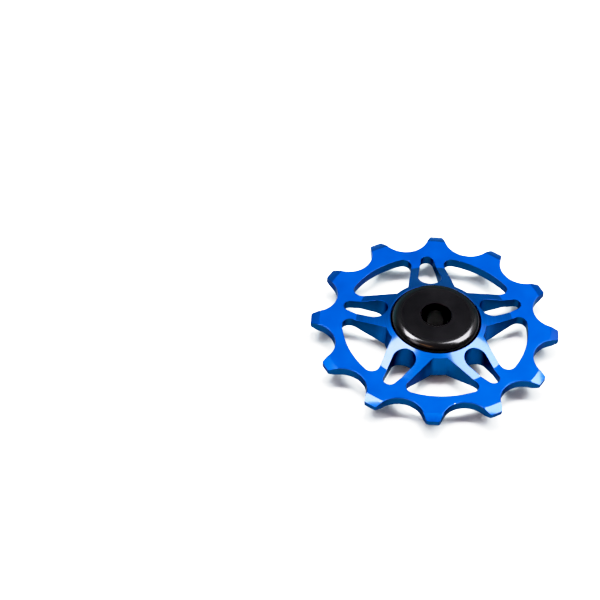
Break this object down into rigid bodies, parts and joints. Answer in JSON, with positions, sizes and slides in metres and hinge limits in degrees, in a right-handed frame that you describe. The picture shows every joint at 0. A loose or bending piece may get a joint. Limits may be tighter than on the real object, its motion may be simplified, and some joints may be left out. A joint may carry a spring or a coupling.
{
  "type": "derailleur jockey wheel",
  "caption": "Toothed chain guide wheel with split spokes and a cone hub, turning on a sealed ball bearing between two black caps.",
  "frame": {"origin": "centre of the wheel, where its axis crosses its middle plane", "axes": "+Z along the wheel's axis, +X towards the tip of one tooth; the wheel lies flat on its lower cap"},
  "size_m": [0.0498, 0.0498, 0.0082],
  "materials": {
    "blue_anodised": "machined and anodised blue",
    "black_cap": "gloss black anodised",
    "sleeve_metal": "turned, anodised black",
    "bearing_steel": "ground steel",
    "seal_rubber": "smooth black",
    "cage_nylon": "moulded",
    "ball_ceramic": "polished"
  },
  "bodies": {
    "axle": {"axle_sleeve": "sleeve_metal", "upper_cap": "black_cap", "lower_cap": "black_cap", "bearing_inner_race": "bearing_steel"},
    "wheel": {"toothed_wheel": "blue_anodised", "bearing_outer_race": "bearing_steel", "upper_seal": "seal_rubber", "lower_seal": "seal_rubber"},
    "ball_cage": {"ball_cage": "cage_nylon"},
    "ball_01": {"ball_01": "ball_ceramic"},
    "ball_02": {"ball_02": "ball_ceramic"},
    "ball_03": {"ball_03": "ball_ceramic"},
    "ball_04": {"ball_04": "ball_ceramic"},
    "ball_05": {"ball_05": "ball_ceramic"},
    "ball_06": {"ball_06": "ball_ceramic"},
    "ball_07": {"ball_07": "ball_ceramic"},
    "ball_08": {"ball_08": "ball_ceramic"},
    "ball_09": {"ball_09": "ball_ceramic"},
    "ball_10": {"ball_10": "ball_ceramic"}
  },
  "joints": [
    {"name": "wheel_spin", "type": "hinge", "parent": "axle", "child": "wheel", "pos_m": [0, 0, 0], "axis": [0, 0, 1], "continuous": true},
    {"name": "cage_spin", "type": "hinge", "parent": "axle", "child": "ball_cage", "pos_m": [0, 0, 0], "axis": [0, 0, 1], "continuous": true},
    {"name": "ball_01_spin", "type": "hinge", "parent": "ball_cage", "child": "ball_01", "pos_m": [0.006, 0, 0], "axis": [0, 0, 1], "continuous": true},
    {"name": "ball_02_spin", "type": "hinge", "parent": "ball_cage", "child": "ball_02", "pos_m": [0.00485, 0.00353, 0], "axis": [0, 0, 1], "continuous": true},
    {"name": "ball_03_spin", "type": "hinge", "parent": "ball_cage", "child": "ball_03", "pos_m": [0.00185, 0.00571, 0], "axis": [0, 0, 1], "continuous": true},
    {"name": "ball_04_spin", "type": "hinge", "parent": "ball_cage", "child": "ball_04", "pos_m": [-0.00185, 0.00571, 0], "axis": [0, 0, 1], "continuous": true},
    {"name": "ball_05_spin", "type": "hinge", "parent": "ball_cage", "child": "ball_05", "pos_m": [-0.00485, 0.00353, 0], "axis": [0, 0, 1], "continuous": true},
    {"name": "ball_06_spin", "type": "hinge", "parent": "ball_cage", "child": "ball_06", "pos_m": [-0.006, 0, 0], "axis": [0, 0, 1], "continuous": true},
    {"name": "ball_07_spin", "type": "hinge", "parent": "ball_cage", "child": "ball_07", "pos_m": [-0.00485, -0.00353, 0], "axis": [0, 0, 1], "continuous": true},
    {"name": "ball_08_spin", "type": "hinge", "parent": "ball_cage", "child": "ball_08", "pos_m": [-0.00185, -0.00571, 0], "axis": [0, 0, 1], "continuous": true},
    {"name": "ball_09_spin", "type": "hinge", "parent": "ball_cage", "child": "ball_09", "pos_m": [0.00185, -0.00571, 0], "axis": [0, 0, 1], "continuous": true},
    {"name": "ball_10_spin", "type": "hinge", "parent": "ball_cage", "child": "ball_10", "pos_m": [0.00485, -0.00353, 0], "axis": [0, 0, 1], "continuous": true}
  ],
  "couplings": [
    {"joint": "cage_spin", "follows": "wheel_spin", "ratio": 0.58333},
    {"joint": "ball_01_spin", "follows": "wheel_spin", "ratio": 2.9167},
    {"joint": "ball_02_spin", "follows": "wheel_spin", "ratio": 2.9167},
    {"joint": "ball_03_spin", "follows": "wheel_spin", "ratio": 2.9167},
    {"joint": "ball_04_spin", "follows": "wheel_spin", "ratio": 2.9167},
    {"joint": "ball_05_spin", "follows": "wheel_spin", "ratio": 2.9167},
    {"joint": "ball_06_spin", "follows": "wheel_spin", "ratio": 2.9167},
    {"joint": "ball_07_spin", "follows": "wheel_spin", "ratio": 2.9167},
    {"joint": "ball_08_spin", "follows": "wheel_spin", "ratio": 2.9167},
    {"joint": "ball_09_spin", "follows": "wheel_spin", "ratio": 2.9167},
    {"joint": "ball_10_spin", "follows": "wheel_spin", "ratio": 2.9167}
  ]
}
